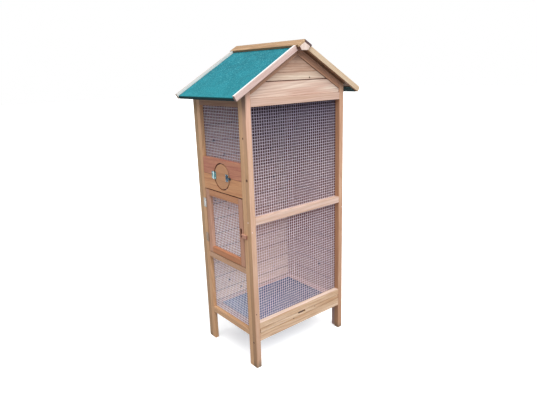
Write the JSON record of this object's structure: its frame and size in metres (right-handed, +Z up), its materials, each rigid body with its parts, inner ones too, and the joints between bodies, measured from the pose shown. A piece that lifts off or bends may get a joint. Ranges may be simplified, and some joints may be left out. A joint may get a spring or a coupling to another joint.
{
  "type": "garden aviary",
  "caption": "Tall timber aviary on legs with wire mesh on two sides, a round side hatch, a side door, a slide-out tray and a felted gable roof.",
  "frame": {"origin": "middle of the roof's footprint, on the floor", "axes": "+Z up, the mesh front faces -Y, +X to the right seen from the front, the door and hatch side faces -X"},
  "size_m": [0.8232, 0.558, 1.6569],
  "materials": {
    "frame_timber": "clear stained fir",
    "side_timber": "clear stained fir",
    "wall_boards": "stained fir boards",
    "hatch_board_timber": "red-brown stained fir",
    "hatch_disc_timber": "clear stained fir",
    "door_timber": "orange-brown stained fir",
    "roof_trim": "clear stained fir",
    "roof_felt_green": "green mineral bitumen felt",
    "galvanised_wire": "galvanised",
    "zinc_plate": "galvanised sheet",
    "dark_steel": "dark plated steel"
  },
  "bodies": {
    "cage": {"front_posts": "frame_timber", "back_posts": "frame_timber", "front_top_beam": "frame_timber", "front_mid_rail": "frame_timber", "front_bottom_rail": "frame_timber", "front_base_board": "frame_timber", "back_top_beam": "frame_timber", "front_rakes": "frame_timber", "back_rakes": "frame_timber", "side_top_rails": "frame_timber", "side_stiles": "side_timber", "left_mid_rail": "side_timber", "left_bottom_rail": "side_timber", "tray_runners": "side_timber", "back_ledge": "side_timber", "back_wall": "wall_boards", "right_wall": "wall_boards", "front_gable": "wall_boards", "back_gable": "wall_boards", "roof_boards": "wall_boards", "hatch_board": "hatch_board_timber", "front_barge_left": "roof_trim", "front_barge_right": "roof_trim", "back_barges": "roof_trim", "ridge_cap": "roof_trim", "apex_blocks": "roof_trim", "roof_felt": "roof_felt_green", "mesh_front_upper": "galvanised_wire", "mesh_front_lower": "galvanised_wire", "mesh_left_upper": "galvanised_wire", "mesh_left_lower": "galvanised_wire", "hatch_hinge_plate": "zinc_plate", "door_hinge_plates": "zinc_plate"},
    "door": {"door_hinge_stile": "door_timber", "door_latch_stile": "door_timber", "door_rails": "door_timber", "door_mesh": "galvanised_wire", "door_hinge_leaves": "zinc_plate", "door_button_screw": "dark_steel"},
    "turn_button": {"door_button": "side_timber"},
    "hatch": {"hatch_disc": "hatch_disc_timber", "hatch_hinge_leaf": "zinc_plate", "hatch_latch_plate": "dark_steel"},
    "latch_arm": {"hatch_latch": "dark_steel"},
    "tray": {"tray_pan": "zinc_plate", "tray_front": "frame_timber"}
  },
  "joints": [
    {"name": "door_swing", "type": "hinge", "parent": "cage", "child": "door", "pos_m": [-0.3282, 0.1755, 0.738], "axis": [0, 0, -1], "range_deg": [0, 110]},
    {"name": "button_turn", "type": "hinge", "parent": "door", "child": "turn_button", "pos_m": [-0.325, -0.1565, 0.729], "axis": [-1, 0, 0], "range_deg": [0, 90]},
    {"name": "hatch_swing", "type": "hinge", "parent": "cage", "child": "hatch", "pos_m": [-0.3282, 0.074, 1.006], "axis": [0, 0, -1], "range_deg": [0, 110]},
    {"name": "latch_turn", "type": "hinge", "parent": "hatch", "child": "latch_arm", "pos_m": [-0.325, -0.041, 1.006], "axis": [-1, 0, 0], "range_deg": [0, 90]},
    {"name": "tray_slide", "type": "slide", "parent": "cage", "child": "tray", "axis": [0, -1, 0], "range_m": [0, 0.35]}
  ]
}
